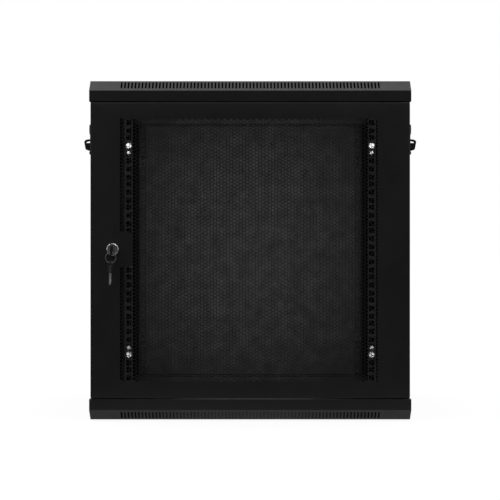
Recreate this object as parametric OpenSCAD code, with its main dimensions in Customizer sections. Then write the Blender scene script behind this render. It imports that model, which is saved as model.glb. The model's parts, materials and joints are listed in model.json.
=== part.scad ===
// 19-inch wall-mount network rack cabinet with a perforated steel door.
// X runs left to right seen from the front, Y runs from the door (-Y) to the wall (+Y), Z is up.
// The origin is the centre of the wall bolt pattern, on the back face of the rear panel.
// "Depth" is measured towards the wall from the door's front face. Mirror-image pieces are
// drawn as the right-hand, upper one.

/* [Cabinet] */
// Usable height in rack units
units = 12; // [9:1:18]
// Outside width
cab_w = 600; // [600:1:640]
// Outside depth
cab_d = 600; // [560:5:800]
// Sheet thickness of the trays, door and panels
sheet = 1.2; // [1:0.1:1.5]
// Sheet thickness of the posts and rails
post_t = 1.5; // [1.2:0.1:2]

/* [Trays] */
// Height of the flat fascia strip above and below the door
fascia_h = 20; // [16:0.5:24]
// Height of the sloped vent edge
slope_h = 20; // [16:0.5:24]
// Depth of the sloped vent edge
slope_d = 25; // [22:0.5:28]
// Spacing of the vent slots
vent_pitch = 6.5; // [6:0.1:9]
// Width of one vent slot
vent_w = 3.2; // [2.5:0.1:4]
// Length of one vent slot along the slope
vent_l = 21; // [16:0.5:24]

/* [Door] */
// Gap between the door and the fascia strips
door_gap = 1.75; // [1.75:0.05:2.5]
// Gap between the door's edge and the cabinet's side
door_side = 2.3; // [2:0.1:4]
// Depth of the door's folded edges
door_d = 18; // [16:0.5:18]
// Width of the folded lip behind the door
door_lip = 12; // [8:0.5:12]
// Diameter of one door perforation
perf_d = 15; // [12:0.5:15]

/* [Lock] */
// Height of the lock above mid height
lock_z = 1.5; // [-10:0.5:10]
// Diameter of the lock's face
lock_d = 24; // [23:0.5:26]

/* [Rack rails] */
// Front face of the front rails behind the door's front
front_rail_s = 85; // [80:1:95]
// Rear face of the rear rails, measured from the wall plane
rear_rail_gap = 120; // [110:1:130]

/* [Hidden] */
$fn = 48;
rack_unit = 44.45;
rail_h = units * rack_unit;
cab_h = rail_h + 101.6;
half_w = cab_w / 2;
half_h = cab_h / 2;
height_ratio = cab_h / 635;           // against the 12-unit cabinet
fascia_z = half_h - fascia_h - slope_h; // underside of the top fascia
slope_z = half_h - slope_h;           // where the slope starts
rear_lip_z = half_h - 35.5;           // lower edge of the top tray's rear face
rear_lip_x = 266;                     // half the length of the rear lips
rear_lip_d = 13;
door_half_h = fascia_z - door_gap;
door_half_w = half_w - door_side;

post_front = 22;                      // depth of the front posts' front face
post_in = 268;                        // inner edge of the posts
post_out = half_w - sheet - 0.2;      // outer side of the posts
flange_inset = 16;
flange_x = half_w - flange_inset;     // posts' inner flange, where the depth rails bolt on
side_front = 56;                      // side panel's front and rear edges
side_rear = cab_d - 34;
latch_depths = [side_front + 14, side_rear - 14];

fix_z = -rail_h / 2 + (units - 1.5) * rack_unit; // rack hole bolted to the rail's bracket
fix_screw_z = fix_z - 13.4;           // smaller screw below that bolt
depth_rail_low = fix_z - 30;
depth_rail_high = fix_z + 28;
slot_z = fix_z - 6;                   // height of the depth rail's long slots
hole_x = 465.1 / 2;                   // rack hole centres
rear_rail_depth = cab_d - rear_rail_gap;

frame_screw_depths = [38, cab_d - 17];
frame_screw_zs = [fascia_z + 9, fascia_z + 29];
flange_screw_zs = [depth_rail_low + 7, depth_rail_high - 6];
rear_screw_x = half_w - 18;
rear_screw_zs = [for (z = [-220, 0, 220]) z * height_ratio];

hinge_x = half_w - 10;
hinge_depth = 9;
lock_x = -(half_w - 44);

corners = [for (i = [-1, 1], j = [-1, 1]) [i, j]];
m6_hex = 10;                          // across flats

black_steel = [0.09, 0.09, 0.1];
dark_steel = [0.1, 0.1, 0.11];
rail_black = [0.08, 0.08, 0.09];
dark_screw = [0.2, 0.2, 0.21];
frame_screw_black = [0.16, 0.16, 0.17];
bracket_grey = [0.55, 0.56, 0.58];
lock_grey = [0.6, 0.6, 0.62];
bright_grey = [0.75, 0.75, 0.77];
bush_black = [0.12, 0.12, 0.12];
rubber_black = [0.05, 0.05, 0.05];
latch_black = [0.06, 0.06, 0.06];
key_black = [0.07, 0.07, 0.07];

NODES = ["top_panel", "bottom_panel", "rear_panel",
  "front_left_upright", "front_right_upright", "rear_left_upright", "rear_right_upright",
  "left_upper_depth_rail", "left_lower_depth_rail",
  "right_upper_depth_rail", "right_lower_depth_rail",
  "depth_rail_screws", "frame_screws", "rear_panel_screws",
  "top_cable_cover", "bottom_cable_cover", "cable_cover_screws",
  "upper_hinge_bush", "lower_hinge_bush", "door_buffers", "earth_stud",
  "door_panel", "upper_hinge_bracket", "lower_hinge_bracket",
  "lower_hinge_pin", "upper_hinge_pin", "upper_hinge_spring",
  "lock_body", "lock_nut", "lock_plug", "lock_cam", "cam_screw", "door_key", "door_key_head",
  "key_ring", "spare_key", "spare_key_head",
  "left_side_panel", "right_side_panel", "left_latch_housings", "right_latch_housings",
  "left_front_latch", "left_rear_latch", "right_front_latch", "right_rear_latch",
  "front_left_rail", "front_right_rail", "rear_left_rail", "rear_right_rail",
  "front_left_rail_brackets", "front_right_rail_brackets",
  "rear_left_rail_brackets", "rear_right_rail_brackets",
  "front_left_rail_bolts", "front_right_rail_bolts",
  "rear_left_rail_bolts", "rear_right_rail_bolts"];
node = "all";

// ---------- placing ----------
function y_at(depth) = depth - cab_d;

// Turns a child's +Z to +X or +Y and moves its origin to the given place.
module toward_x(x, depth, z) translate([x, y_at(depth), z]) rotate([0, 90, 0]) children();
module toward_y(x, depth, z) translate([x, y_at(depth), z]) rotate([-90, 0, 0]) children();

module left() mirror([1, 0, 0]) children();
module lower() mirror([0, 0, 1]) children();
module both_sides() {
  left() children();
  children();
}
module both_levels() {
  lower() children();
  children();
}

// ---------- shapes ----------
// Box given by its [from, to] in each direction.
module box(x, depth, z)
  translate([x[0], y_at(depth[0]), z[0]])
    cube([x[1] - x[0], depth[1] - depth[0], z[1] - z[0]]);

// Extrusions of outlines drawn in [depth, z], [x, z] and [x, depth].
module along_x(x0, x1)
  translate([x0, -cab_d, 0]) rotate([90, 0, 90]) linear_extrude(x1 - x0) children();
module along_y(front, rear)
  translate([0, y_at(rear), 0]) rotate([90, 0, 0]) linear_extrude(rear - front) children();
module along_z(z0, z1) translate([0, -cab_d, z0]) linear_extrude(z1 - z0) children();

// Cylinders starting at the given place and running to +X, +Y or +Z.
module cyl_x(x, depth, z, d, len, sides = 32)
  toward_x(x, depth, z) cylinder(d = d, h = len, $fn = sides);
module cyl_y(x, depth, z, d, len, sides = 32)
  toward_y(x, depth, z) cylinder(d = d, h = len, $fn = sides);
module cyl_z(x, depth, z, d, len, sides = 32)
  translate([x, y_at(depth), z]) cylinder(d = d, h = len, $fn = sides);

function normal(a, b) = let (dir = (b - a) / norm(b - a)) [-dir[1], dir[0]];
// Open line moved sideways by t, mitred at the bends.
function moved_line(line, t) = let (last = len(line) - 1) [for (i = [0:last])
  let (before = normal(line[max(i - 1, 0)], line[max(i, 1)]),
       after = i < last ? normal(line[i], line[i + 1]) : before)
  line[i] + t * (before + after) / (1 + before * after)];
module folded_sheet(line, t) {
  other = moved_line(line, t);
  polygon(concat(line, [for (i = [len(other) - 1:-1:0]) other[i]]));
}
module obround(w, l) {
  square([w, l - w], center = true);
  for (end = [-1, 1])
    translate([0, end * (l - w) / 2]) circle(d = w, $fn = 16);
}
module round_rect(x, y, r) {
  square([x - 2 * r, y], center = true);
  square([x, y - 2 * r], center = true);
  for (c = corners)
    translate([c[0] * (x / 2 - r), c[1] * (y / 2 - r)]) circle(r = r, $fn = 32);
}

// Screw with its shank to +Z, its head below Z = 0 and a hexagon socket in the head.
module socket_screw(shank_d, shank_l, head_d, head_h, socket_d, socket_l) difference() {
  union() {
    cylinder(d = shank_d, h = shank_l, $fn = 32);
    translate([0, 0, -head_h]) cylinder(d = head_d, h = head_h, $fn = 32);
  }
  translate([0, 0, -head_h - 1]) cylinder(d = socket_d, h = socket_l, $fn = 6);
}
module m5_screw(shank_l) socket_screw(5, shank_l, 9.5, 2.4, 3.5, 2.8);
module hex_nut(d, flats, h) difference() {
  cylinder(d = flats / cos(30), h = h, $fn = 6);
  translate([0, 0, -1]) cylinder(d = d + 0.1, h = h + 2, $fn = 32);
}

// ---------- top and bottom trays ----------
fascia_fold_d = 20;
fascia_fold_h = 12;
vent_n = floor((cab_w - 118) / vent_pitch / 2); // slots on each side of the middle one
slope_angle = atan2(slope_h, slope_d);
fan_x = 100;
fan_depth = cab_d / 2 - 10;
fan_screw = 52.5;                     // screw holes' offset from the fan's centre
fan_ring_w = 6;
cable_depth = cab_d - 85;             // centre of the cable opening
cable_l = 240;
cable_w = 66;
cable_screws = [for (c = corners) [c[0] * (cable_l / 2 - 10), c[1] * (cable_w / 2 + 8)]];
earth_x = -240;
earth_depth = 70;

module tray_body() {
  along_x(-half_w, half_w) folded_sheet([
    [fascia_fold_d, fascia_z + fascia_fold_h], [fascia_fold_d, fascia_z],
    [0, fascia_z], [0, slope_z], [slope_d, half_h],
    [cab_d, half_h], [cab_d, rear_lip_z]], -sheet);
  box([-rear_lip_x, rear_lip_x], [cab_d - rear_lip_d, cab_d], [rear_lip_z, rear_lip_z + sheet]);
  both_sides()
    along_x(half_w - sheet, half_w)
      polygon([[0, fascia_z], [0, slope_z], [slope_d, half_h], [cab_d, half_h],
        [cab_d, fascia_z]]);
}
module tray_cuts() {
  // Vent slots
  for (i = [-vent_n:vent_n])
    translate([i * vent_pitch, y_at(slope_d / 2), slope_z + slope_h / 2])
      rotate([slope_angle, 0, 0]) translate([0, 1.2, -4])
        linear_extrude(8) obround(vent_w, vent_l);
  // Cable opening and its cover's screw holes
  along_z(half_h - 5, half_h + 5) translate([0, cable_depth]) round_rect(cable_l, cable_w, 4);
  for (p = cable_screws)
    cyl_z(p[0], cable_depth + p[1], half_h - 5, 4.3, 10);
  both_sides()
    for (depth = frame_screw_depths, z = frame_screw_zs)
      cyl_x(half_w - 4, depth, z, 5.5, 8);
  // Hinge bush hole
  cyl_z(hinge_x, hinge_depth, fascia_z - 3, 10.04, 8);
}
module fan_grille() for (side = [-1, 1]) translate([side * fan_x, fan_depth]) {
  for (r = [14:9:50]) difference() {
    circle(r = r + fan_ring_w, $fn = 64);
    circle(r = r, $fn = 64);
    for (angle = [45, -45])
      rotate(angle) square([160, 6], center = true);
  }
  for (c = corners)
    translate(c * fan_screw) circle(d = 4.5, $fn = 32);
}
module top_panel() color(black_steel) difference() {
  tray_body();
  tray_cuts();
  along_z(half_h - 5, half_h + 5) fan_grille();
}
module bottom_panel() color(black_steel) lower() difference() {
  tray_body();
  tray_cuts();
  cyl_z(earth_x, earth_depth, half_h - 5, 6.04, 10);
}
module cable_cover() color(dark_steel)
  along_z(half_h - 2 * sheet, half_h - sheet) translate([0, cable_depth]) difference() {
    round_rect(cable_l + 20, cable_w + 32, 4);
    for (p = cable_screws)
      translate(p) circle(d = 4.3, $fn = 32);
  }
module cable_cover_screws() color(dark_screw) both_levels()
  for (p = cable_screws)
    translate([p[0], y_at(cable_depth + p[1]), half_h - 2 * sheet])
      socket_screw(4.2, 2 * sheet, 8, 2, 3, 2.4);
// Stud with two nuts and a washer between them.
module earth_stud() color("silver") {
  cyl_z(earth_x, earth_depth, -half_h, 6, 24);
  for (z = [0, 8]) difference() {
    cyl_z(earth_x, earth_depth, -half_h + sheet + z, 11.5, 5, 6);
    cyl_z(earth_x, earth_depth, -half_h + sheet + z - 1, 6.04, 7);
  }
  difference() {
    cyl_z(earth_x, earth_depth, -half_h + sheet + 5.4, 14, 1.6);
    cyl_z(earth_x, earth_depth, -half_h + sheet + 5, 6.1, 3);
  }
}

// ---------- rear panel, with the wall bolt holes ----------
wall_x = 255;
wall_z = 240 + (cab_h - 635) / 2;
rear_panel_lip_z = rear_lip_z - 2.8;

module rear_panel() color(dark_steel) difference() {
  union() {
    box([-post_out, post_out], [cab_d - sheet, cab_d], [-rear_lip_z, rear_lip_z]);
    both_levels()
      box([-rear_lip_x, rear_lip_x], [cab_d - rear_lip_d, cab_d],
        [rear_panel_lip_z - sheet, rear_panel_lip_z]);
  }
  for (c = corners)
    cyl_y(c[0] * wall_x, cab_d - 5, c[1] * wall_z, 9, 10);
  both_sides()
    for (z = rear_screw_zs)
      cyl_y(rear_screw_x, cab_d - 5, z, 5.1, 10);
}
module rear_panel_screws() color(dark_screw) both_sides()
  for (z = rear_screw_zs)
    toward_y(rear_screw_x, cab_d - sheet - post_t, z) m5_screw(sheet + post_t);

// ---------- corner posts ----------
// Rear posts reach the trays; front posts stop under the slope.
rear_post_z = half_h - sheet;
front_post_z = half_h - max(5, slope_h * (1 - post_front / slope_d) + 2.5);

// Latch window and screw holes through the post flange or depth rail, 6 long from x.
module flange_cuts(x, depth) {
  box([x, x + 6], [depth - 6, depth + 6], [fix_z - 8, fix_z + 10]);
  for (z = flange_screw_zs)
    cyl_x(x, depth, z, 5.1, 6);
}
// Cuts at the upper and lower end of a post.
module post_end_cuts(latch_depth, frame_screw_depth) both_levels() {
  flange_cuts(flange_x - 2, latch_depth);
  for (z = frame_screw_zs)
    cyl_x(post_out - 4, frame_screw_depth, z, 5.1, 8);
}
module front_post() color(black_steel) {
  height = [-front_post_z, front_post_z];
  fold = side_front - 2;              // rear face of the fold in front of the side panel
  difference() {
    union() {
      box([post_in, post_out], [post_front, post_front + post_t], height);
      box([post_in, post_in + post_t], [post_front, post_front + 20], height);
      box([post_out - post_t, post_out], [post_front, fold], height);
      box([flange_x, post_out], [fold - post_t, fold], height);
      box([flange_x, flange_x + post_t], [fold - post_t, side_front + 26], height);
    }
    // Notch in the inner edge, level with the lock
    box([post_in - 1, post_in + 3], [post_front + post_t + 0.5, post_front + 25],
      [lock_z - 42, lock_z + 20]);
    post_end_cuts(latch_depths[0], frame_screw_depths[0]);
  }
}
module rear_post() color(black_steel) {
  height = [-rear_post_z, rear_post_z];
  back = cab_d - sheet;
  fold = side_rear + 2;               // front face of the fold behind the side panel
  difference() {
    union() {
      box([post_in, post_out], [back - post_t, back], height);
      box([post_in, post_in + post_t], [cab_d - 22, back], height);
      box([post_out - post_t, post_out], [fold, back], height);
      box([flange_x, post_out], [fold, fold + post_t], height);
      box([flange_x, flange_x + post_t], [side_rear - 26, fold + post_t], height);
    }
    for (z = rear_screw_zs)
      cyl_y(rear_screw_x, cab_d - 10, z, 5.1, 12);
    post_end_cuts(latch_depths[1], frame_screw_depths[1]);
  }
}
module frame_screws() color(frame_screw_black) both_sides() both_levels()
  for (depth = frame_screw_depths, z = frame_screw_zs) difference() {
    union() {
      cyl_x(half_w - 6, depth, z, 5, 6);
      cyl_x(half_w, depth, z, 9.5, 1.4);
      cyl_x(half_w + 1.4, depth, z, 8, 1);
    }
    cyl_x(half_w + 0.4, depth, z, 3.5, 3, 6);
  }

// ---------- depth rails, which carry the rack rails ----------
slot_l = 168;
slot_h = 7;
front_slot = 92;                      // front ends of the two long slots
rear_slot = side_front + side_rear - front_slot - slot_l - 14;

module depth_rail() color(dark_steel) difference() {
  union() {
    box([flange_x - post_t, flange_x], [side_front, side_rear],
      [depth_rail_low, depth_rail_high]);
    for (z = [depth_rail_low, depth_rail_high - post_t])
      box([flange_x - 14, flange_x], [side_front + 30, side_rear - 30], [z, z + post_t]);
  }
  for (start = [front_slot, rear_slot])
    box([flange_x - 4, flange_x + 2], [start, start + slot_l],
      [slot_z - slot_h / 2, slot_z + slot_h / 2]);
  for (depth = latch_depths)
    flange_cuts(flange_x - 4, depth);
}
module depth_rail_screws() color("silver") both_sides() both_levels()
  for (depth = latch_depths, z = flange_screw_zs)
    toward_x(flange_x - post_t, depth, z) m5_screw(2 * post_t);

// ---------- 19-inch rack rails, their brackets and bolts ----------
// Drawn with the rail's face at depth 0 and the rest behind it.
rail_in = 225;
rail_out = 241;
rail_d = 40;
hole_half = 4.75;                     // half a square rack hole
unit_holes = [6.35, 22.225, 38.1];    // hole heights in one rack unit
bracket_t = 2;
bracket_low = fix_z - 20;
bracket_high = fix_z + 8;
bracket_x = flange_x - post_t;        // outer face of the bracket, on the depth rail
bracket_bolt_depth = 19;

module front_rail_place() translate([0, front_rail_s, 0]) children();
// Turned so that its face looks to the wall.
module rear_rail_place()
  translate([0, y_at(rear_rail_depth), 0]) mirror([0, 1, 0])
    translate([0, cab_d, 0]) children();

module rack_rail() color(rail_black) difference() {
  union() {
    height = [-rail_h / 2, rail_h / 2];
    box([rail_in, rail_out], [0, post_t], height);
    box([rail_out - post_t, rail_out], [0, rail_d], height);
    box([rail_out - post_t, rail_out + 10], [rail_d - post_t, rail_d], height);
  }
  for (u = [0:units - 1], h = unit_holes) {
    z = -rail_h / 2 + u * rack_unit + h;
    box([hole_x - hole_half, hole_x + hole_half], [-1, 3], [z - hole_half, z + hole_half]);
  }
  // Slots that the brackets pass through
  both_levels()
    box([rail_out - 3, rail_out + 1], [post_t, post_t + bracket_t + 0.5],
      [bracket_low - 1, bracket_high + 1]);
}
module rail_bracket() color(dark_steel) both_levels() difference() {
  union() {
    box([rail_in + 2, bracket_x], [post_t, post_t + bracket_t], [bracket_low, bracket_high]);
    box([bracket_x - bracket_t, bracket_x], [post_t, 34], [bracket_low, bracket_high]);
  }
  cyl_y(hole_x, -1, fix_z, 6.1, 6);
  cyl_y(hole_x, -1, fix_screw_z, 4.1, 6);
  cyl_x(flange_x - 6, bracket_bolt_depth, slot_z, 6.1, 6);
}
// M6 flange bolt with a chamfered head, and its nut.
module flange_bolt() {
  cyl_y(hole_x, -1.2, fix_z, 13, 1.2);
  difference() {
    cyl_y(hole_x, -5.2, fix_z, m6_hex / cos(30), 4, 6);
    toward_y(hole_x, -5.2, fix_z)
      rotate_extrude($fn = 48) polygon([[4.7, -0.1], [7, -0.1], [7, 1.3]]);
  }
  cyl_y(hole_x, -1.2, fix_z, 6, 13);
  toward_y(hole_x, post_t + bracket_t, fix_z) hex_nut(6, m6_hex, 5);
}
// M4 screw with a cross recess, and its nut.
module cross_screw() {
  difference() {
    union() {
      cyl_y(hole_x, -1, fix_screw_z, 9.4, 1);
      toward_y(hole_x, -3.6, fix_screw_z) cylinder(d1 = 6, d2 = 8, h = 0.9, $fn = 32);
      cyl_y(hole_x, -2.7, fix_screw_z, 8, 1.7);
      cyl_y(hole_x, -1, fix_screw_z, 4, 11);
    }
    for (angle = [0, 90])
      translate([hole_x, y_at(-3.7), fix_screw_z]) rotate([0, angle, 0])
        translate([-0.6, -1, -2.4]) cube([1.2, 2.4, 4.8]);
  }
  toward_y(hole_x, post_t + bracket_t, fix_screw_z) hex_nut(4, 7, 3.2);
}
// M6 bolt, washer and nut on the depth rail's slot.
module slot_bolt() {
  inner = bracket_x - bracket_t;
  cyl_x(inner - 4, bracket_bolt_depth, slot_z, m6_hex / cos(30), 4, 6);
  cyl_x(inner - 0.01, bracket_bolt_depth, slot_z, 6, 13);
  difference() {
    cyl_x(flange_x, bracket_bolt_depth, slot_z, 14, 1.2);
    cyl_x(flange_x - 1, bracket_bolt_depth, slot_z, 6.1, 4);
  }
  toward_x(flange_x + 1.25, bracket_bolt_depth, slot_z) hex_nut(6, m6_hex, 5);
}
module rail_bolts() color("silver") both_levels() {
  flange_bolt();
  cross_screw();
  slot_bolt();
}

// ---------- door ----------
perf_lock_border = 54.9;
perf_hinge_border = 60;
perf_end_border = 30;                 // above and below the perforated field
perf_w = 2 * door_half_w - (perf_lock_border + perf_hinge_border);
perf_h = 2 * door_half_h - 2 * perf_end_border;
perf_nx = floor(perf_w / 17.7);
perf_nz = floor(perf_h / 19.9 - 0.5);
perf_px = perf_w / perf_nx;
perf_pz = perf_h / (perf_nz + 0.5);

// Every other column is half a pitch higher; the first one skips the holes near the lock.
module perforation() for (i = [0:perf_nx - 1], j = [0:perf_nz - 1])
  let (x = -(door_half_w - perf_lock_border) + (i + 0.5) * perf_px,
       z = -perf_h / 2 + (j + 0.5 + (i % 2) * 0.5) * perf_pz)
    if (!(i == 0 && abs(z - lock_z) < 38)) translate([x, z]) circle(d = perf_d);
module door_outline(inset = 0)
  square([2 * (door_half_w - inset), 2 * (door_half_h - inset)], center = true);
module door_frame(front, rear, width) along_y(front, rear) difference() {
  door_outline();
  door_outline(width);
}
module door_panel() color(black_steel) difference() {
  union() {
    along_y(0, sheet) difference() {
      door_outline();
      perforation();
    }
    door_frame(0, door_d, sheet);
    door_frame(door_d - sheet, door_d, door_lip);
  }
  cyl_y(lock_x, -1, lock_z, 19.1, 4);
  cyl_z(hinge_x, hinge_depth, door_half_h - 3, 6.1, 6);
  cyl_z(hinge_x, hinge_depth, -door_half_h - 3, 6.04, 6);
}

// ---------- hinges and door buffers ----------
hinge_face = door_half_w - sheet;     // inside of the door's hinge edge
pin_d = 6;
pin_reach = 6.7;                      // pins stand this far out of the door
upper_arm_z = door_half_h - 48;       // lower arm of the upper bracket
lower_arm_z = -door_half_h + 12;
pin_collar_z = door_half_h - 23.2;

// Plate on the door's edge with arms that reach round the pin.
module hinge_bracket(plate, arms, hole_z, hole_d) color(bracket_grey) difference() {
  union() {
    box([hinge_face - post_t, hinge_face], [4, 15], plate);
    for (z = arms)
      box([hinge_x - 7, hinge_face], [4, 15], [z, z + post_t]);
  }
  cyl_z(hinge_x, hinge_depth, hole_z, hole_d, 60);
}
module upper_hinge_bracket()
  hinge_bracket(plate = [door_half_h - 52, door_half_h - 14],
    arms = [upper_arm_z, door_half_h - 21], hole_z = door_half_h - 60, hole_d = 6.1);
module lower_hinge_bracket()
  hinge_bracket(plate = [-door_half_h + 8, -door_half_h + 30],
    arms = [lower_arm_z], hole_z = -door_half_h, hole_d = 6.04);
// Sprung pin with a collar and a handle towards the door's middle.
module upper_hinge_pin() color("silver") {
  cyl_z(hinge_x, hinge_depth, door_half_h - 56, pin_d, 56 + pin_reach);
  cyl_z(hinge_x, hinge_depth, pin_collar_z, 9.2, 2);
  cyl_x(hinge_x - 18, hinge_depth, door_half_h - 53.5, 5, 18);
}
module lower_hinge_pin() color("silver") {
  top = lower_arm_z + post_t;
  cyl_z(hinge_x, hinge_depth, -door_half_h - pin_reach, pin_d,
    pin_reach + top + door_half_h + 2);
  cyl_z(hinge_x, hinge_depth, top, 9, 2);
}
// Coil between the bracket's lower arm and the pin's collar.
module upper_hinge_spring() color(bright_grey) translate([hinge_x, y_at(hinge_depth), 0]) {
  steps = 6 * 14;                     // turns times steps in a turn
  sides = 6;                          // of the wire's section
  wire_r = 0.5;
  coil_r = 4.1;
  bottom = upper_arm_z + post_t + 0.3 + wire_r;
  top = pin_collar_z - 0.3 - wire_r;
  points = [for (k = [0:steps]) for (q = [0:sides - 1])
    let (turn = 360 * k / 14, around = 360 * q / sides, r = coil_r + wire_r * cos(around))
    [r * cos(turn), r * sin(turn),
     bottom + (top - bottom) * k / steps + wire_r * sin(around)]];
  faces = concat(
    [[for (q = [sides - 1:-1:0]) q]],
    [[for (q = [0:sides - 1]) steps * sides + q]],
    [for (k = [0:steps - 1]) for (q = [0:sides - 1])
      let (here = k * sides, next = here + sides, beside = (q + 1) % sides)
      [next + q, next + beside, here + beside, here + q]]);
  polyhedron(points = points, faces = faces, convexity = 10);
}
// Flanged bush: the sleeve is 10 across, the flange 14.
module hinge_bush(flange_z, flange_h, sleeve_z, sleeve_l, bore_z)
  color(bush_black) difference() {
    union() {
      cyl_z(hinge_x, hinge_depth, flange_z, 14, flange_h);
      cyl_z(hinge_x, hinge_depth, sleeve_z, 10, sleeve_l);
    }
    cyl_z(hinge_x, hinge_depth, bore_z, 6.1, 14);
  }
module upper_hinge_bush()
  hinge_bush(flange_z = fascia_z - 1, flange_h = 1,
    sleeve_z = fascia_z - 1, sleeve_l = 8, bore_z = fascia_z - 3);
module lower_hinge_bush()
  hinge_bush(flange_z = -fascia_z, flange_h = 1.65,
    sleeve_z = -fascia_z - 6, sleeve_l = 7, bore_z = -fascia_z - 8);
module door_buffers() color(rubber_black) for (end = [-1, 1])
  cyl_y(-(half_w - 10.5), door_d + 0.3, end * (door_half_h - 60), 9,
    post_front - door_d - 0.3);

// ---------- lock and cam ----------
cam_depth = 21.5;                     // front face of the cam
cam_t = 2.5;
cam_half_w = 6.5;
lock_profile = [                      // [radius, depth]
  [7.05, -1.1], [8.6, -1.1], [8.6, -4.4], [8.9, -5.0], [9.5, -5.3], [10.3, -5.2],
  [lock_d / 2 - 0.9, -4.5], [lock_d / 2 - 0.3, -3.2], [lock_d / 2, -1.6], [lock_d / 2, 0],
  [9.5, 0], [9.5, 20], [7.05, 20]];
cam_arm = [                           // [depth, height from the lock's axis]
  [21.5, -7.4], [24, -7.4], [28.5, -11], [28.5, -30], [26, -30], [26, -12.2]];

module lock_body() color(bright_grey)
  toward_y(lock_x, 0, lock_z) rotate_extrude($fn = 64) polygon(lock_profile);
module lock_nut() color(lock_grey) difference() {
  cyl_y(lock_x, sheet, lock_z, 24 / cos(30), 4, 6);
  cyl_y(lock_x, sheet - 1, lock_z, 19.1, 7);
}
// Plug with a square end for the cam, a keyway and a screw hole.
module lock_plug() color(lock_grey) difference() {
  union() {
    cyl_y(lock_x, -3.2, lock_z, 17, 2, 64);
    cyl_y(lock_x, -3.2, lock_z, 14, 24.7, 64);
    box([lock_x - 4, lock_x + 4], [cam_depth, 24.2], [lock_z - 4, lock_z + 4]);
  }
  box([lock_x - 1.1, lock_x + 1.1], [-5, 15.5], [lock_z - 4.1, lock_z + 4.1]);
  cyl_y(lock_x, 16.5, lock_z, 4.04, 10);
}
module lock_cam() color(lock_grey) translate([lock_x, 0, lock_z]) difference() {
  union() {
    cyl_y(0, cam_depth, 0, 15, cam_t);
    box([-cam_half_w, cam_half_w], [cam_depth, cam_depth + cam_t], [-8, 0]);
    along_x(-cam_half_w, cam_half_w) polygon(cam_arm);
  }
  box([-4.05, 4.05], [20, 25], [-4.05, 4.05]);
}
module cam_screw() color("silver") {
  cyl_y(lock_x, 17, lock_z, 4, 7.3);
  cyl_y(lock_x, 24.2, lock_z, 12, 1);
  cyl_y(lock_x, 25.2, lock_z, 7 / cos(30), 3, 6);
}

// ---------- keys and key ring ----------
// A key is drawn in XY with its shoulder at y = 0 and its head to +Y.
key_head_w = 21.2;
key_head_l = 21.6;
key_slot_w = 17;
key_slot_h = 4.5;
key_slot_y = 16.75;
key_t = 2;
key_depth = -12;                      // depth of the shoulder, in front of the door
ring_r = 9.6;
ring_wire_r = 0.9;
ring_x = lock_x - 1.2;
ring_depth = key_depth - key_slot_y;
// The ring hangs on the web below the slot of the key in the lock.
ring_z = lock_z - (key_head_w + key_slot_w) / 4 - 6.1;
blade_outline = [                     // [x, y]
  [-4, 6], [4, 6], [4, -18.4], [1.5, -22.2], [-1.5, -22.2], [-4, -20], [-4, -18.2],
  [-2.6, -17], [-4, -15.6], [-2.9, -14], [-4, -12.2], [-2.4, -10.4], [-4, -8.6], [-4, 0]];

// The head has a pocket for the end of the blade.
module key_head() color(key_black) difference() {
  linear_extrude(4.2, center = true, convexity = 6) difference() {
    translate([0, key_head_l / 2]) round_rect(key_head_w, key_head_l, 6);
    translate([0, key_slot_y]) round_rect(key_slot_w, key_slot_h, 2);
  }
  translate([0, 3, 0]) cube([8, 6, key_t], center = true);
}
module key_blade() color("silver") linear_extrude(key_t, center = true) polygon(blade_outline);
// Turns a key so that its head points out of the door.
module in_lock()
  translate([lock_x, y_at(key_depth), lock_z]) rotate([0, 0, 180]) rotate([0, 90, 0])
    children();
// Hangs a key head up on the bottom of the ring.
module hanging()
  translate([ring_x, y_at(ring_depth), ring_z - ring_r]) rotate([0, 2, 0])
    translate([0, 0, ring_wire_r + 0.3 - key_slot_y - key_slot_h / 2])
      rotate([0, 0, 22]) rotate([0, 0, 90]) rotate([90, 0, 0]) children();
module key_ring() color("silver")
  translate([ring_x, y_at(ring_depth), ring_z]) rotate([90, 0, 0])
    rotate_extrude($fn = 64) translate([ring_r, 0]) circle(r = ring_wire_r, $fn = 16);

// ---------- side panels and their latches ----------
side_half_h = fascia_z - 1.5;
side_fold = 13;
window_w = 18;
window_h = 46;
window_z = fix_z + 8;                 // centre of the latch windows
hook_x = -flange_inset - 6.5;         // inner face of the hook, from the side's surface
// Outlines in [x from the side's surface, z from fix_z].
housing_outline = [
  [0, -18.2], [4.4, -18.2], [5.6, -16.8], [5.6, -13.6], [4.4, -11.8], [4.2, 18.2], [5, 20.6],
  [5.5, 24], [5.6, 30], [5.5, 35.4], [4.8, 38.2], [3, 39.4], [0, 39.4]];
loop_outline = [
  [5, -10.8], [12.6, -8.4], [13.2, -7.4], [15.6, 5.6], [15.2, 7.6], [13.4, 9.4],
  [10, 10.6], [5, 11.2]];
loop_opening = [[2, 4.2], [12.3, 3.9], [12.8, 4.8], [12.4, 6.6], [9, 7.9], [2, 8.5]];

module side_panel() color(black_steel) difference() {
  union() {
    height = [-side_half_h, side_half_h];
    box([half_w - sheet, half_w], [side_front, side_rear], height);
    both_levels()
      box([half_w - side_fold, half_w], [side_front, side_rear],
        [side_half_h - sheet, side_half_h]);
    for (depth = [side_front, side_rear - sheet])
      box([half_w - side_fold, half_w], [depth, depth + sheet], height);
    // Tabs below the lower edge
    for (depth = [side_front + 60, side_rear - 100])
      box([half_w - 4, half_w - 2.8], [depth, depth + 40], [-fascia_z - 14, -fascia_z + 2.7]);
  }
  for (depth = latch_depths)
    translate([half_w - 5, y_at(depth), window_z])
      cube([20, window_w, window_h], center = true);
}
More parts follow.
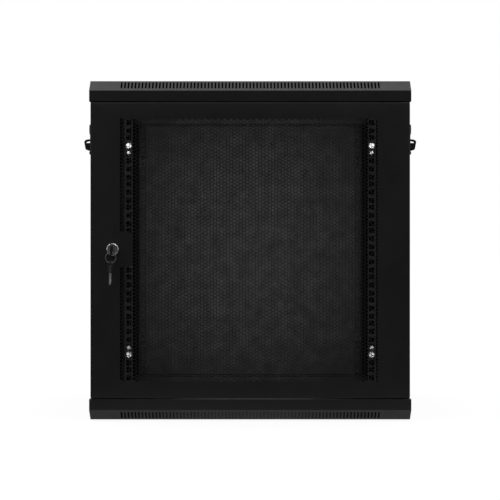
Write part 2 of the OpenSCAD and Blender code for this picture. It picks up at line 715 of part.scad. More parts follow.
// Each housing fills its window and stands proud of the panel as a rounded frame.
module latch_housings() color(rubber_black) for (depth = latch_depths) difference() {
  union() {
    translate([half_w, y_at(depth), fix_z]) rotate([90, 0, 0])
      linear_extrude(24, center = true) polygon(housing_outline);
    box([half_w - 7, half_w], [depth - window_w / 2, depth + window_w / 2],
      [window_z - window_h / 2, window_z + window_h / 2]);
  }
  box([half_w - 9, half_w + 8], [depth - 4.2, depth + 4.2], [fix_z - 8, fix_z + 12]);
}
// A finger loop outside, a shank through the housing and a hook behind the post's flange.
module latch(depth) color(latch_black) translate([half_w, y_at(depth), fix_z]) {
  rotate([90, 0, 0]) linear_extrude(16, center = true) difference() {
    polygon(loop_outline);
    polygon(loop_opening);
  }
  translate([hook_x, -3.8, -6]) cube([6.3 - hook_x, 7.6, 8]);
  translate([hook_x, -3.8, -6]) cube([4, 7.6, 14]);
}

// ---------- assembly ----------
function on(name) = node == "all" || node == name;

if (on("top_panel")) top_panel();
if (on("bottom_panel")) bottom_panel();
if (on("rear_panel")) rear_panel();
if (on("front_left_upright")) left() front_post();
if (on("front_right_upright")) front_post();
if (on("rear_left_upright")) left() rear_post();
if (on("rear_right_upright")) rear_post();
if (on("left_upper_depth_rail")) left() depth_rail();
if (on("left_lower_depth_rail")) left() lower() depth_rail();
if (on("right_upper_depth_rail")) depth_rail();
if (on("right_lower_depth_rail")) lower() depth_rail();
if (on("depth_rail_screws")) depth_rail_screws();
if (on("frame_screws")) frame_screws();
if (on("rear_panel_screws")) rear_panel_screws();
if (on("top_cable_cover")) cable_cover();
if (on("bottom_cable_cover")) lower() cable_cover();
if (on("cable_cover_screws")) cable_cover_screws();
if (on("upper_hinge_bush")) upper_hinge_bush();
if (on("lower_hinge_bush")) lower_hinge_bush();
if (on("door_buffers")) door_buffers();
if (on("earth_stud")) earth_stud();
if (on("door_panel")) door_panel();
if (on("upper_hinge_bracket")) upper_hinge_bracket();
if (on("lower_hinge_bracket")) lower_hinge_bracket();
if (on("lower_hinge_pin")) lower_hinge_pin();
if (on("upper_hinge_pin")) upper_hinge_pin();
if (on("upper_hinge_spring")) upper_hinge_spring();
if (on("lock_body")) lock_body();
if (on("lock_nut")) lock_nut();
if (on("lock_plug")) lock_plug();
if (on("lock_cam")) lock_cam();
if (on("cam_screw")) cam_screw();
if (on("door_key")) in_lock() key_blade();
if (on("door_key_head")) in_lock() key_head();
if (on("key_ring")) key_ring();
if (on("spare_key")) hanging() key_blade();
if (on("spare_key_head")) hanging() key_head();
if (on("left_side_panel")) left() side_panel();
if (on("right_side_panel")) side_panel();
if (on("left_latch_housings")) left() latch_housings();
if (on("right_latch_housings")) latch_housings();
if (on("left_front_latch")) left() latch(latch_depths[0]);
if (on("left_rear_latch")) left() latch(latch_depths[1]);
if (on("right_front_latch")) latch(latch_depths[0]);
if (on("right_rear_latch")) latch(latch_depths[1]);
if (on("front_left_rail")) left() front_rail_place() rack_rail();
if (on("front_right_rail")) front_rail_place() rack_rail();
if (on("rear_left_rail")) left() rear_rail_place() rack_rail();
if (on("rear_right_rail")) rear_rail_place() rack_rail();
if (on("front_left_rail_brackets")) left() front_rail_place() rail_bracket();
if (on("front_right_rail_brackets")) front_rail_place() rail_bracket();
if (on("rear_left_rail_brackets")) left() rear_rail_place() rail_bracket();
if (on("rear_right_rail_brackets")) rear_rail_place() rail_bracket();
if (on("front_left_rail_bolts")) left() front_rail_place() rail_bolts();
if (on("front_right_rail_bolts")) front_rail_place() rail_bolts();
if (on("rear_left_rail_bolts")) left() rear_rail_place() rail_bolts();
if (on("rear_right_rail_bolts")) rear_rail_place() rail_bolts();
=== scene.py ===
"""A wall cabinet with a perforated front door, in a white studio.

Metres, +Z up. The door is at the front, facing -Y, with its lock on the -X side; the rear panel
faces it from the +Y end. CAD pieces get procedural materials; the door's sheet and the upper
hinge's spring are built anew.
"""
import json
import math

import bmesh
import bpy
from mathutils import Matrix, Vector


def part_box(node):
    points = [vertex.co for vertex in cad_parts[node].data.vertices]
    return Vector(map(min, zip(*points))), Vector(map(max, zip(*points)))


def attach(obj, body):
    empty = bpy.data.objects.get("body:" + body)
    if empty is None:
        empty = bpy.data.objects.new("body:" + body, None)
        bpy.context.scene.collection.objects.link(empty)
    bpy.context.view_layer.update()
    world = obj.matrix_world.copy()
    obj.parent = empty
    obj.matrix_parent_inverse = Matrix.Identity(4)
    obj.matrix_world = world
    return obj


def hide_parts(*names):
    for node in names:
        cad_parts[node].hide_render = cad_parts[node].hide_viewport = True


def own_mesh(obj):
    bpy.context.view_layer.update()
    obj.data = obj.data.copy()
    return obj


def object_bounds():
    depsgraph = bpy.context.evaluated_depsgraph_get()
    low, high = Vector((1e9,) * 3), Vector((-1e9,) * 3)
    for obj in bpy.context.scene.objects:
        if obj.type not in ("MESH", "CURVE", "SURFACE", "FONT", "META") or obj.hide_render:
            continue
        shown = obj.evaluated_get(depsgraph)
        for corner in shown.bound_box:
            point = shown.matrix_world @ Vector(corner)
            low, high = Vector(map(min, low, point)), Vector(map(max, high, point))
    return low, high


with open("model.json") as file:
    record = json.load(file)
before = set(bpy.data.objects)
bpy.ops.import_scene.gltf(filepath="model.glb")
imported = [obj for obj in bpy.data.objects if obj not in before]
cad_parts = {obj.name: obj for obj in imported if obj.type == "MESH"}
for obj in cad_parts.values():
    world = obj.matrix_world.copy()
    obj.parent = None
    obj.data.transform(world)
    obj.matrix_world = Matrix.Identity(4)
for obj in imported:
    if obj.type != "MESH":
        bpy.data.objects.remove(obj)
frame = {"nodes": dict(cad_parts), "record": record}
cad_lo, cad_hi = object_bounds()
pieces = frame["nodes"]
slot_of = {part["node"]: part["material_slot"] for part in frame["record"]["subparts"]}
scene = bpy.context.scene
materials = {}


# ------------------------------------------------------------------ shader graphs
class Graph:
    """The node tree of a material, world or light, with short ways to add nodes."""

    def __init__(self, owner, clear=True):
        owner.use_nodes = True
        self.tree = owner.node_tree
        if clear:
            self.tree.nodes.clear()

    def feed(self, socket, value):
        """Link an output to the socket, or set the socket's value."""
        if isinstance(value, bpy.types.NodeSocket):
            self.tree.links.new(value, socket)
        elif socket.type == "RGBA":
            socket.default_value = (*value, 1.0)
        else:
            socket.default_value = value

    def node(self, kind, inputs=None, **settings):
        node = self.tree.nodes.new("ShaderNode" + kind)
        for name, value in settings.items():
            setattr(node, name, value)
        for key, value in (inputs or {}).items():
            self.feed(node.inputs[key], value)
        return node

    def math(self, operation, a, b):
        return self.node("Math", {0: a, 1: b}, operation=operation).outputs[0]

    def times(self, first, *others):
        for other in others:
            first = self.math("MULTIPLY", first, other)
        return first

    def remap(self, value, between, to=(0.0, 1.0), **settings):
        return self.node("MapRange", {
            "From Min": between[0], "From Max": between[1],
            "To Min": to[0], "To Max": to[1], "Value": value,
        }, **settings).outputs[0]

    def mix(self, factor, a, b):
        return self.node("Mix", {0: factor, 6: a, 7: b}, data_type="RGBA").outputs[2]

    def split(self, vector):
        return self.node("SeparateXYZ", {0: vector}).outputs

    def camera_split(self, for_others, for_camera):
        """One shader for camera rays and another for all other rays."""
        is_camera = self.node("LightPath").outputs["Is Camera Ray"]
        inputs = {0: is_camera, 1: for_others.outputs[0], 2: for_camera.outputs[0]}
        return self.node("MixShader", inputs).outputs[0]


class Surface(Graph):
    """A material with one Principled shader, textured in object space."""

    def __init__(self, name):
        materials[name] = bpy.data.materials.new(name)
        super().__init__(materials[name])
        self.shader = self.node("BsdfPrincipled")
        self.node("OutputMaterial", {0: self.shader.outputs[0]})
        self.coords = self.node("TexCoord").outputs["Object"]

    def set(self, name, value):
        self.feed(self.shader.inputs[name], value)

    def noise(self, scale, detail, roughness, distortion=0.0):
        """Noise of the given scale; three numbers stretch it along x, y and z."""
        coords = self.coords
        if isinstance(scale, tuple):
            coords = self.node("Mapping", {"Scale": scale, "Vector": coords}).outputs[0]
            scale = 1.0
        return self.node("TexNoise", {
            "Scale": scale, "Detail": detail, "Roughness": roughness,
            "Distortion": distortion, "Vector": coords,
        }).outputs["Fac"]

    def edges(self, radius):
        """A mask, 1 on rounded edges and 0 on flats, and the bevelled normal it comes from."""
        bevelled = self.node("Bevel", {"Radius": radius}, samples=4).outputs[0]
        flat = self.node("NewGeometry").outputs["Normal"]
        dot = self.node("VectorMath", {0: bevelled, 1: flat}, operation="DOT_PRODUCT")
        lean = self.math("SUBTRACT", 1.0, dot.outputs["Value"])
        return self.remap(lean, between=(0.02, 0.35)), bevelled

    def finish(self, color, roughness, height, strength, distance, normal):
        """Connect colour, roughness and a bump of the given height."""
        self.set("Base Color", color)
        self.set("Roughness", roughness)
        inputs = {"Strength": strength, "Distance": distance, "Height": height}
        if normal is not None:
            inputs["Normal"] = normal
        self.set("Normal", self.node("Bump", inputs).outputs[0])


def shade(color, factor, lift=0.0):
    return tuple(min(1.0, c * factor + lift) for c in color)


def powder_coat(name, base, roughness=0.46, edges=True, specular=0.5, painted_shade_depths=None):
    """Matt powder coat: orange peel, slight cloudiness, and edges rubbed shinier and paler.

    Between the two given depths (y) the coat is made darker and less specular: painted shade,
    standing in for the shadow that falls on the rails' return flanges.
    """
    s = Surface(name)
    cloud = s.noise(scale=9.0, detail=3.0, roughness=0.55)
    speck = s.noise(scale=1500.0, detail=2.0, roughness=0.6)
    color = s.mix(s.remap(cloud, between=(0.3, 0.7)), base, shade(base, 1.3, lift=0.0015))
    speck = s.remap(speck, between=(0.62, 0.8), to=(0.0, 0.35))
    color = s.mix(speck, color, shade(base, 2.2, lift=0.004))
    sheen = s.noise(scale=34.0, detail=4.0, roughness=0.6)
    rough = s.remap(sheen, between=(0.3, 0.7), to=(roughness - 0.05, roughness + 0.06))
    normal = None
    if edges:
        mask, normal = s.edges(radius=0.0007)
        patches = s.noise(scale=60.0, detail=4.0, roughness=0.7)
        worn = s.times(mask, s.remap(patches, between=(0.42, 0.72), to=(0.25, 1.0)))
        color = s.mix(s.times(worn, 0.6), color, shade(base, 3.0, lift=0.01))
        rough = s.math("SUBTRACT", rough, s.times(worn, 0.1))
    s.set("Specular IOR Level", specular)
    # painted shade: a band of depth made darker and less specular, for the shadowed return
    # flange
    if painted_shade_depths is not None:
        depth = s.split(s.coords)["Y"]
        in_painted_shade = s.times(s.math("GREATER_THAN", depth, painted_shade_depths[0]),
                         s.math("LESS_THAN", depth, painted_shade_depths[1]))
        color = s.mix(in_painted_shade, color, shade(base, 0.5))
        s.set("Specular IOR Level", s.remap(in_painted_shade, between=(0.0, 1.0), to=(specular, 0.06)))
    fine = s.noise(scale=1900.0, detail=2.0, roughness=0.6)
    soft = s.noise(scale=520.0, detail=2.0, roughness=0.5)
    peel = s.math("ADD", s.times(fine, 0.35), soft)
    s.finish(color, rough, peel, strength=0.5, distance=0.00008, normal=normal)


def plated(name, base, roughness, tint=None, scratch=1.0, cloudiness=0.3, painted_shade_from=None):
    """Plated metal: cloudy passivation, fine scratches in two directions and rubbed edges.

    From the given depth (y) inwards the metal is darkened and made rougher: painted shade on the
    washers and flanges behind the bolt heads.
    """
    s = Surface(name)
    s.set("Metallic", 1.0)
    cloud = s.noise(scale=140.0, detail=4.0, roughness=0.6, distortion=0.4)
    cloud = s.remap(cloud, between=(0.35, 0.75), to=(0.0, cloudiness))
    color = s.mix(cloud, base, tint or shade(base, 0.8))
    scratches = s.math("ADD",
                       s.noise(scale=(2600.0, 90.0, 400.0), detail=3.0, roughness=0.6),
                       s.noise(scale=(300.0, 2200.0, 120.0), detail=3.0, roughness=0.6))
    mask, normal = s.edges(radius=0.00035)
    color = s.mix(s.times(mask, 0.5), color, shade(base, 1.25))
    rough = s.remap(scratches, between=(0.7, 1.3), to=(roughness - 0.05, roughness + 0.10))
    # painted shade: darker, rougher metal from this depth inwards
    if painted_shade_from is not None:
        painted_washer_shade = s.remap(s.split(s.coords)["Y"], between=(painted_shade_from - 0.0002, painted_shade_from))
        color = s.mix(painted_washer_shade, color, shade(base, 0.35))
        rough = s.math("ADD", rough, s.times(painted_washer_shade, 0.24))
    s.finish(color, rough, scratches, strength=0.12 * scratch, distance=0.00004, normal=normal)


def moulded(name, base, roughness=0.5, grain=1.0, edge_radius=0.0005):
    """Moulded plastic or rubber: spark-eroded grain, soft sheen changes, polished edges."""
    s = Surface(name)
    cloud = s.noise(scale=60.0, detail=3.0, roughness=0.5)
    color = s.mix(s.remap(cloud, between=(0.3, 0.7)), base, shade(base, 1.35, lift=0.001))
    mask, normal = s.edges(edge_radius)
    color = s.mix(s.times(mask, 0.5), color, shade(base, 2.2, lift=0.01))
    sheen = s.noise(scale=200.0, detail=3.0, roughness=0.6)
    rough = s.remap(sheen, between=(0.3, 0.7), to=(roughness - 0.06, roughness + 0.06))
    rough = s.math("SUBTRACT", rough, s.times(mask, 0.12))
    height = s.noise(scale=2600.0, detail=2.0, roughness=0.7)
    s.finish(color, rough, height, strength=0.35 * grain, distance=0.00006, normal=normal)


# ------------------------------------------------------------------ materials of the pieces
def front_of(name):
    """The piece's foremost y."""
    return min(corner[1] for corner in pieces[name].bound_box)


BLACK = (0.0125, 0.0125, 0.0135)
ZINC = {"base": (0.66, 0.67, 0.69), "roughness": 0.26, "tint": (0.58, 0.57, 0.50)}
WASHER_DEPTH = 0.0037  # from the front of the rail bolts to where their painted shade begins
front_rail_y = front_of("front_left_rail")
rear_rail_y = front_of("rear_left_rail")

powder_coat("black_powder_coat", BLACK)
powder_coat("door_coat", BLACK, edges=False)
powder_coat("rear_coat", (0.020, 0.020, 0.0215), roughness=0.5)
plated("black_screws", (0.016, 0.016, 0.0165), roughness=0.36,
       tint=(0.011, 0.011, 0.012), scratch=0.6)
plated("zinc_plate", **ZINC)
plated("chrome_plate", (0.80, 0.81, 0.83), roughness=0.10,
       tint=(0.74, 0.75, 0.78), scratch=0.5, cloudiness=0.2)
plated("lock_zinc", (0.50, 0.50, 0.52), roughness=0.30, tint=(0.42, 0.42, 0.44))
plated("key_steel", (0.52, 0.52, 0.515), roughness=0.42, tint=(0.45, 0.45, 0.44))
plated("ring_steel", (0.24, 0.24, 0.245), roughness=0.34, tint=(0.18, 0.18, 0.18))
plated("spring_steel", (0.50, 0.50, 0.52), roughness=0.30)
moulded("key_plastic", (0.012, 0.012, 0.012), roughness=0.42)
moulded("latch_plastic", (0.014, 0.014, 0.0145), roughness=0.48, edge_radius=0.0008)
moulded("nylon", (0.03, 0.03, 0.03))
moulded("rubber", (0.010, 0.010, 0.010), roughness=0.8, grain=1.6)
# the rail bolts get painted shade on their washers and flanges, from WASHER_DEPTH behind their
# fronts
plated("zinc_bolts", **ZINC, painted_shade_from=front_of("front_left_rail_bolts") + WASHER_DEPTH)
# the rails' return flanges get painted shade (darker, less specular) between the given depths
powder_coat("rail_coat", (0.009, 0.009, 0.010), roughness=0.55, specular=0.25,
            painted_shade_depths=(front_rail_y + 0.036, front_rail_y + 0.050))
powder_coat("rear_rail_coat", (0.010, 0.010, 0.011), roughness=0.42, specular=0.28,
            painted_shade_depths=(rear_rail_y - 0.010, rear_rail_y + 0.004))

SPECIAL_MATERIALS = {
    "rear_panel": "rear_coat",
    "front_left_rail_bolts": "zinc_bolts",
    "front_right_rail_bolts": "zinc_bolts",
    "key_ring": "ring_steel",
}


def material_for(name):
    if name.endswith("_rail") and "depth" not in name:
        return "rear_rail_coat" if name.startswith("rear") else "rail_coat"
    return SPECIAL_MATERIALS.get(name, slot_of[name])


for name, piece in pieces.items():
    piece.data.materials.clear()
    piece.data.materials.append(materials[material_for(name)])
    piece.data.set_sharp_from_angle(angle=math.radians(28))


# ------------------------------------------------------------------ meshes
def mesh_object(name, verts, faces, material):
    mesh = bpy.data.meshes.new(name)
    mesh.from_pydata(verts, [], faces)
    mesh.materials.append(material)
    made = bpy.data.objects.new(name, mesh)
    scene.collection.objects.link(made)
    return made


def smooth_object(name, verts, faces, material, sharp_degrees, merge=False):
    """A smooth-shaded object with its normals outwards; merge joins coincident vertices."""
    made = mesh_object(name, verts, faces, material)
    bm = bmesh.new()
    bm.from_mesh(made.data)
    if merge:
        bmesh.ops.remove_doubles(bm, verts=bm.verts, dist=1e-7)
    bmesh.ops.recalc_face_normals(bm, faces=bm.faces)
    bm.to_mesh(made.data)
    bm.free()
    for polygon in made.data.polygons:
        polygon.use_smooth = True
    made.data.set_sharp_from_angle(angle=math.radians(sharp_degrees))
    return made


# ------------------------------------------------------------------ door sheet
SHEET = 0.0012           # thickness
BEND_OUT = 0.0020        # outer radius of the folds
BEND_IN = BEND_OUT - SHEET
CORNER = 0.0030          # radius of the door's outline at its corners
LIP = 0.012              # reach of the return lip, from the door's edge
LIP_CHAMFER = 0.0003
LOCK_HOLE = 0.00955      # radius
LOCK_SEGMENTS = 32
# perforated field: plain border beside it on the left, on the right, and above and below
BORDER_LEFT, BORDER_RIGHT, BORDER_END = 0.0549, 0.0600, 0.0300
COLUMNS = 80
HOLES = 74               # in each column
HALF_ROWS = 2 * HOLES + 1
WEB = 0.0011             # metal between neighbouring holes
# cells left unpierced beside the lock: the columns, and the heights from the lock's centre
BLANK_COLUMNS = 4
BLANK_LOW, BLANK_HIGH = -0.0310, 0.0307


def rim_section(depth):
    """Points (in from the door's edge, back from its front) round the folded rim's section."""

    def bend(radius, centre, toward, degrees):
        angles = [math.radians(d) for d in degrees]
        return [(BEND_OUT - radius * math.sin(a), centre + toward * radius * math.cos(a))
                for a in angles]

    back = depth - BEND_OUT
    return [
        *bend(BEND_OUT, BEND_OUT, -1, (0, 22.5, 45, 67.5, 90)),
        *bend(BEND_OUT, back, 1, (90, 67.5, 45, 22.5, 0)),
        (LIP - LIP_CHAMFER, depth),
        (LIP, depth - LIP_CHAMFER),
        (LIP, depth - SHEET + LIP_CHAMFER),
        (LIP - LIP_CHAMFER, depth - SHEET),
        *bend(BEND_IN, back, 1, (0, 45, 90)),
        *bend(BEND_IN, BEND_OUT, -1, (90, 45, 0)),
    ]


def corner_arc(x, z, start):
    """A quarter turn about (x, z), clockwise from the front: (cos, sin) steps from start."""
    return lambda r: [(x + r * math.cos(a), z + r * math.sin(a))
                      for a in (math.radians(start - 22.5 * q) for q in range(5))]


class DoorSheet:
    """One folded sheet with hexagonal perforation, kept as an upper and a lower half.

    Side 0 is its front and side 1 its back. Grid points lie on columns and half rows.
    """

    def __init__(self):
        self.lo, self.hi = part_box("door_panel")
        nut_lo, nut_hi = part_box("lock_nut")
        self.lock_x, self.lock_z = (nut_lo.x + nut_hi.x) / 2, (nut_lo.z + nut_hi.z) / 2
        self.left = self.lo.x + BORDER_LEFT
        self.bottom = self.lo.z + BORDER_END
        self.pitch = (self.hi.x - BORDER_RIGHT - self.left) / COLUMNS
        self.half_row = (self.hi.z - BORDER_END - self.bottom) / HALF_ROWS
        self.verts, self.index = [], {}
        self.faces = {True: [], False: []}  # by whether they are in the upper half
        self.perforation()
        self.rim()
        self.border()

    def vertex(self, key, x, y, z):
        if key not in self.index:
            self.index[key] = len(self.verts)
            self.verts.append((x, y, z))
        return self.index[key]

    def column_x(self, column):
        return self.left + column * self.pitch

    def row_z(self, row):
        return self.bottom + row * self.half_row

    def on_side(self, key, x, z, side):
        return self.vertex((*key, side), x, self.lo.y + SHEET * side, z)

    def grid(self, column, row, side):
        """A corner of the honeycomb, moved right or left of its column by turns."""
        shift = self.pitch / 6 if (column + row) % 2 else -self.pitch / 6
        x = self.column_x(column) + shift
        return self.on_side(("grid", column, row), x, self.row_z(row), side)

    def side_face(self, corners, side, upper):
        self.faces[upper].append(corners if side else corners[::-1])

    def wall(self, a, b, upper_count):
        """Quads between two closed loops; the first upper_count are in the upper half."""
        n = len(a)
        for q in range(n):
            r = (q + 1) % n
            self.faces[q < upper_count].append([a[q], a[r], b[r], b[q]])

    def hole_outline(self):
        """The honeycomb cell drawn in by half the web all round, with its corners cut off."""
        w, h = self.pitch, self.half_row
        cell = [(2 * w / 3, 0), (w / 3, h), (-w / 3, h),
                (-2 * w / 3, 0), (-w / 3, -h), (w / 3, -h)]
        shrink = 1 - WEB / 2 / h
        return [tuple(shrink * (cell[q][c] + 0.1 * (cell[near][c] - cell[q][c])) for c in (0, 1))
                for q in range(6) for near in ((q - 1) % 6, (q + 1) % 6)]

    def perforation(self):
        outline = self.hole_outline()
        for i in range(COLUMNS):
            offset = (i + 1) % 2
            for j in range(HOLES):
                self.cell(i, 2 * j + offset, j >= HOLES // 2, outline)
            # half a cell remains at the bottom or the top of the column
            row = 0 if offset else 2 * HOLES
            for side in (0, 1):
                strip = [self.grid(i, row, side), self.grid(i + 1, row, side),
                         self.grid(i + 1, row + 1, side), self.grid(i, row + 1, side)]
                self.side_face(strip[::-1], side, not offset)

    def cell(self, i, k, upper, outline):
        """The cell between columns i and i + 1 that starts at half row k."""
        x, z = self.column_x(i) + self.pitch / 2, self.row_z(k + 1)
        solid = i < BLANK_COLUMNS and BLANK_LOW < z - self.lock_z < BLANK_HIGH
        corners = ((1, 1), (1, 2), (0, 2), (0, 1), (0, 0), (1, 0))
        holes = []
        for side in (0, 1):
            outer = [self.grid(i + di, k + dk, side) for di, dk in corners]
            if solid:
                self.side_face(outer, side, upper)
                continue
            hole = [self.on_side(("hole", i, k, q), x + dx, z + dz, side)
                    for q, (dx, dz) in enumerate(outline)]
            for q in range(6):
                face = [outer[q], outer[(q + 1) % 6],
                        hole[(2 * q + 2) % 12], hole[2 * q + 1], hole[2 * q]]
                self.side_face(face, side, upper)
            holes.append(hole)
        if holes:
            self.wall(*holes, upper_count=12 if upper else 0)

    def rim(self):
        """The rim's section carried round the door's outline, clockwise from the front."""
        self.rings = []
        for level, (inset, back) in enumerate(rim_section(self.hi.y - self.lo.y)):
            r = max(CORNER - inset, 0.0)
            x0, x1 = self.lo.x + inset, self.hi.x - inset
            z0, z1 = self.lo.z + inset, self.hi.z - inset
            points = [
                (x0, self.lock_z),
                *corner_arc(x0 + r, z1 - r, 180)(r),
                *corner_arc(x1 - r, z1 - r, 90)(r),
                (x1, self.row_z(HOLES)),
                *corner_arc(x1 - r, z0 + r, 0)(r),
                *corner_arc(x0 + r, z0 + r, -90)(r),
            ]
            self.rings.append([self.vertex(("rim", level, q), x, self.lo.y + back, z)
                               for q, (x, z) in enumerate(points)])
        for a, b in zip(self.rings[:-1], self.rings[1:]):
            self.wall(a, b, upper_count=len(a) // 2)

    def border(self):
        """Plain sheet between the rim and the perforated field, with the lock's hole in it.

        On a ring, 0 and 11 are the split points at left and right; 3, 8, 14 and 19 are the
        middles of the corners, from the top left one clockwise.
        """
        half = LOCK_SEGMENTS // 2
        locks = []
        for side, ring in ((0, self.rings[0]), (1, self.rings[-1])):
            lock = []
            for q in range(LOCK_SEGMENTS):
                a = 2 * math.pi * q / LOCK_SEGMENTS
                x = self.lock_x + LOCK_HOLE * math.cos(a)
                z = self.lock_z + LOCK_HOLE * math.sin(a)
                lock.append(self.on_side(("lock", q), x, z, side))
            locks.append(lock)

            def up_to(column, rows):
                return [self.grid(column, k, side) for k in rows]

            def along(row, columns):
                return [self.grid(i, row, side) for i in columns]

            for corners, upper in (
                # left, above and below the lock's centre
                (ring[0:4] + up_to(0, range(HALF_ROWS, HOLES, -1)) + lock[:half + 1], True),
                (ring[19:] + ring[:1] + lock[half:] + lock[:1]
                 + up_to(0, range(HOLES + 1, -1, -1)), False),
                # top
                (ring[3:9] + along(HALF_ROWS, range(COLUMNS, -1, -1)), True),
                # right, above and below the split
                (ring[8:12] + up_to(COLUMNS, range(HOLES, HALF_ROWS + 1)), True),
                (ring[11:15] + up_to(COLUMNS, range(HOLES + 1)), False),
                # bottom
                (ring[14:20] + along(0, range(COLUMNS + 1)), False),
            ):
                self.side_face(corners, side, upper)
        self.wall(*locks, upper_count=half)

    def make_half(self, name, upper):
        faces = self.faces[upper]
        used = sorted({i for face in faces for i in face})
        renumber = {old: new for new, old in enumerate(used)}
        half = smooth_object(name, [self.verts[i] for i in used],
                             [[renumber[i] for i in face] for face in faces],
                             materials["door_coat"], sharp_degrees=34, merge=True)
        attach(half, "door")
        return half


sheet = DoorSheet()
door = [sheet.make_half("door_sheet_upper", True), sheet.make_half("door_sheet_lower", False)]
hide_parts("door_panel")


# ------------------------------------------------------------------ upper hinge pin's spring
def coil_spring():
    """Round wire with a closed turn at each end and five open turns between."""
    wire = 0.0005  # radius
    closed_rise = 2.1 * wire
    turns, steps, sides = 7, 28, 8
    lo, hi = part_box("upper_hinge_spring")
    cx, cy = (lo.x + hi.x) / 2, (lo.y + hi.y) / 2
    coil = (hi.x - lo.x) / 2 - wire
    z0, z1 = lo.z + wire, hi.z - wire
    verts, faces = [], []
    for k in range(steps * turns + 1):
        turn = k / steps
        if turn <= 1:
            z = z0 + closed_rise * turn
        elif turn >= turns - 1:
            z = z1 - closed_rise * (turns - turn)
        else:
            z = z0 + closed_rise + (z1 - z0 - 2 * closed_rise) * (turn - 1) / (turns - 2)
        a = 2 * math.pi * turn
        for q in range(sides):
            b = 2 * math.pi * q / sides
            r = coil + wire * math.cos(b)
            verts.append((cx + r * math.cos(a), cy + r * math.sin(a), z + wire * math.sin(b)))
    last = steps * turns * sides
    for k in range(0, last, sides):
        for q in range(sides):
            r = (q + 1) % sides
            faces.append([k + q, k + sides + q, k + sides + r, k + r])
    faces += [list(range(sides)), [last + q for q in range(sides - 1, -1, -1)]]
    spring = smooth_object("hinge_pin_coil_spring", verts, faces,
                           materials["spring_steel"], sharp_degrees=60)
    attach(spring, "door")
    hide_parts("upper_hinge_spring")
    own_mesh(spring)


coil_spring()

# ------------------------------------------------------------------ floor and world
WHITE = (1.0, 1.0, 1.0)
FOOT_HALF = 0.3          # half the side of the square the floor's light is measured from
FOOT_BACK = 0.3          # that square's centre lies this far towards -Y
FLOOR_GLOW = (0.37, 0.08)  # close to the cabinet's foot, and further off
FLOOR_HALF = 30
FLOOR_DROP = 0.0004      # below the cabinet
SKY = {"up": 1.2, "side": 0.6, "back": 0.6, "front_mid": 0.12, "front_low": 0.07}


def floor_material():
    """White to the camera, with a painted shadow (dimmer emission) underneath the cabinet; to
    all else it glows round the foot, a painted glow that lights the cabinet like bounce light.
    """
    material = bpy.data.materials.new("studio_floor")
    g = Graph(material)
    position = g.split(g.node("NewGeometry").outputs["Position"])
    dx = g.math("SUBTRACT", g.math("ABSOLUTE", position["X"], 0.0), FOOT_HALF)
    from_centre = g.math("ADD", position["Y"], FOOT_BACK)
    dy = g.math("SUBTRACT", g.math("ABSOLUTE", from_centre, 0.0), FOOT_HALF)
    away = g.math("MAXIMUM", dx, dy)
    # painted shadow: the floor's emission seen by the camera is dimmed under the cabinet
    shadow = g.remap(away, between=(-0.075, -0.055), to=(0.02, 0.90))
    white = g.node("Emission", {0: WHITE, 1: shadow})
    diffuse = g.node("BsdfDiffuse", {0: (0.16, 0.16, 0.16)})
    seen = g.node("AddShader", {0: white.outputs[0], 1: diffuse.outputs[0]})
    # painted light: to all other rays the floor glows, strongest round the cabinet's foot
    glow = g.node("Emission", {1: g.remap(away, between=(0.01, 0.16), to=FLOOR_GLOW)})
    g.node("OutputMaterial", {0: g.camera_split(glow, seen)})
    return material


def studio_world():
    """White to the camera; to everything else, a sky of different strength by direction."""
    world = bpy.data.worlds.new("studio")
    scene.world = world
    g = Graph(world)
    direction = g.split(g.node("TexCoord").outputs["Generated"])

    def step(value, between):
        return g.remap(value, between, interpolation_type="SMOOTHSTEP")

    up = step(direction["Z"], between=(0.55, 0.85))
    low = g.math("SUBTRACT", 1.0, up)
    front = step(g.times(direction["Y"], -1.0), between=(0.35, 0.65))
    back = step(direction["Y"], between=(0.35, 0.65))
    side = g.math("SUBTRACT", g.math("SUBTRACT", 1.0, front), back)
    mid = step(direction["Z"], between=(0.2, 0.4))
    parts = {
        "up": up,
        "side": g.times(low, side),
        "back": g.times(low, back),
        "front_mid": g.times(low, front, mid),
        "front_low": g.times(low, front, g.math("SUBTRACT", 1.0, mid)),
    }
    sky = 0.0
    for name, part in parts.items():
        sky = g.math("ADD", sky, g.times(part, SKY[name]))
    lighting = g.node("Background", {0: WHITE, 1: sky})
    white = g.node("Background", {0: WHITE, 1: 1.0})
    g.node("OutputWorld", {0: g.camera_split(lighting, white)})


s, z = FLOOR_HALF, cad_lo.z - FLOOR_DROP
floor = mesh_object("studio_floor", [(-s, -s, z), (s, -s, z), (s, s, z), (-s, s, z)],
                    [(0, 1, 2, 3)], floor_material())
studio_world()


# ------------------------------------------------------------------ lights
def only_on(light, names, through_door):
    """Limit the light to these pieces; through_door lets it pass the door's sheet."""
    take = bpy.data.collections.new(light.name + "_on")
    for name in names:
        take.objects.link(bpy.data.objects.get(name) or pieces[name])
    light.light_linking.receiver_collection = take
    if through_door:
        past = bpy.data.collections.new(light.name + "_past")
        for half in door:
            past.objects.link(half)
        for entry in past.collection_objects:
            entry.light_linking.link_state = "EXCLUDE"
        light.light_linking.blocker_collection = past


def place(lamp, location, target, only=(), through_door=True):
    light = bpy.data.objects.new(lamp.name, lamp)
    light.location = location
    light.rotation_mode = "QUATERNION"
    light.rotation_quaternion = (Vector(target) - Vector(location)).to_track_quat("-Z", "Y")
    light.visible_camera = False
    scene.collection.objects.link(light)
    if only:
        only_on(light, only, through_door)


def area(name, location, target, size, power, spread=180, **linking):
    lamp = bpy.data.lights.new(name, "AREA")
    lamp.shape = "RECTANGLE"
    lamp.size, lamp.size_y = size
    lamp.energy = power
    lamp.spread = math.radians(spread)
    place(lamp, location, target, **linking)


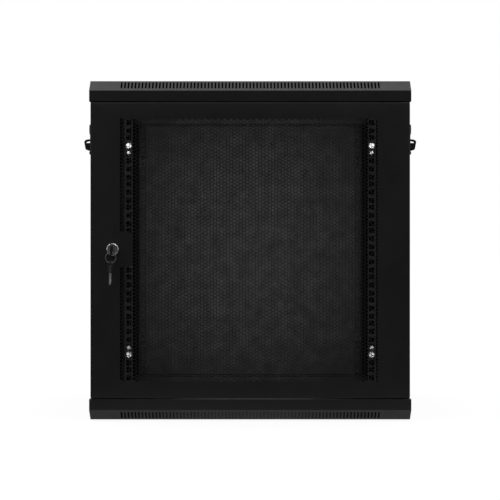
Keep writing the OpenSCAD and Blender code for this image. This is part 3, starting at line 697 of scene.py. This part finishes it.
def bay_wash():
    """Light on the rear panel: strongest in the middle, cut off by the rails."""
    lamp = bpy.data.lights.new("bay_wash", "SPOT")
    lamp.energy = 71.0
    lamp.spot_size = math.radians(16.0)
    lamp.spot_blend = 0.0
    lamp.shadow_soft_size = 0.02
    g = Graph(lamp, clear=False)
    ray = g.split(g.node("TexCoord").outputs["Normal"])
    # slopes of the ray sideways and upwards
    across = g.math("ABSOLUTE", g.math("DIVIDE", ray["X"], ray["Z"]), 0.0)
    rise = g.times(g.math("DIVIDE", ray["Y"], ray["Z"]), -1.0)
    height = g.math("ABSOLUTE", rise, 0.0)
    square = g.times(height, height)
    # fall-off: 1 - 64 across^2, and 1 + 1.12 rise - 20 height^2 - 3670 height^4
    fall_across = g.math("SUBTRACT", 1.0, g.times(across, across, 64.0))
    tilt = g.math("ADD", 1.0, g.times(rise, 1.12))
    bow = g.times(square, g.math("ADD", 20.0, g.times(square, 3670.0)))
    fall_up = g.math("SUBTRACT", tilt, bow)
    cut = g.times(g.remap(across, between=(0.0783, 0.0789), to=(1.0, 0.0)),
                  g.remap(height, between=(0.094, 0.1), to=(1.0, 0.0)))
    wash = g.math("MAXIMUM", g.times(fall_across, fall_up, cut), 0.0)
    g.feed(lamp.node_tree.nodes["Emission"].inputs["Strength"], wash)
    rails = [f"rear_{side}_rail{part}" for part in ("", "_brackets", "_bolts")
             for side in ("left", "right")]
    place(lamp, (0, -3.2, 0.0), (0, 0, 0.0),
          only=["rear_panel", *rails, "top_panel", "bottom_panel"])


FRONTAL = {"location": (0, -3.9, 0.3), "target": (0, -0.5, 0.1), "size": (1.8, 1.6)}
LOCK = (-0.256, -0.6, 0)

area("key_soft", (-1.6, -2.6, 2.4), (0, -0.5, 0), size=(1.2, 1.2), power=2.0)
bay_wash()
# the bottom tray's floor, which shows through the lower vents
area("low_wash", (0, -0.42, -0.12), (0, -0.47, -0.3), size=(0.26, 0.16), power=0.08,
     spread=120, only=["bottom_panel"])
area("fastener_light", **FRONTAL, power=24.0,
     only=["front_left_rail_bolts", "front_right_rail_bolts"])
area("rail_wash", **FRONTAL, power=34.0, only=["front_left_rail", "front_right_rail"])
area("lock_light", (0.5, -2.4, 1.3), LOCK, size=(0.5, 0.5), power=6.0,
     only=["lock_body", "lock_plug"], through_door=False)
area("lock_side_light", (-2.0, -1.9, 0.1), LOCK, size=(0.7, 1.2), power=7.0,
     only=["lock_body"], through_door=False)

# ------------------------------------------------------------------ camera and render
lens = bpy.data.cameras.new("camera")
lens.sensor_width = 36.0
lens.lens = 113.12
lens.clip_start, lens.clip_end = 0.05, 60
camera = bpy.data.objects.new("camera", lens)
camera.location = (-0.0004, -3.525, 0.0005)
camera.rotation_euler = (math.radians(90), 0, 0)
scene.collection.objects.link(camera)
scene.camera = camera
scene.view_settings.view_transform = "Standard"
scene.view_settings.look = "None"
scene.cycles.filter_width = 1.5
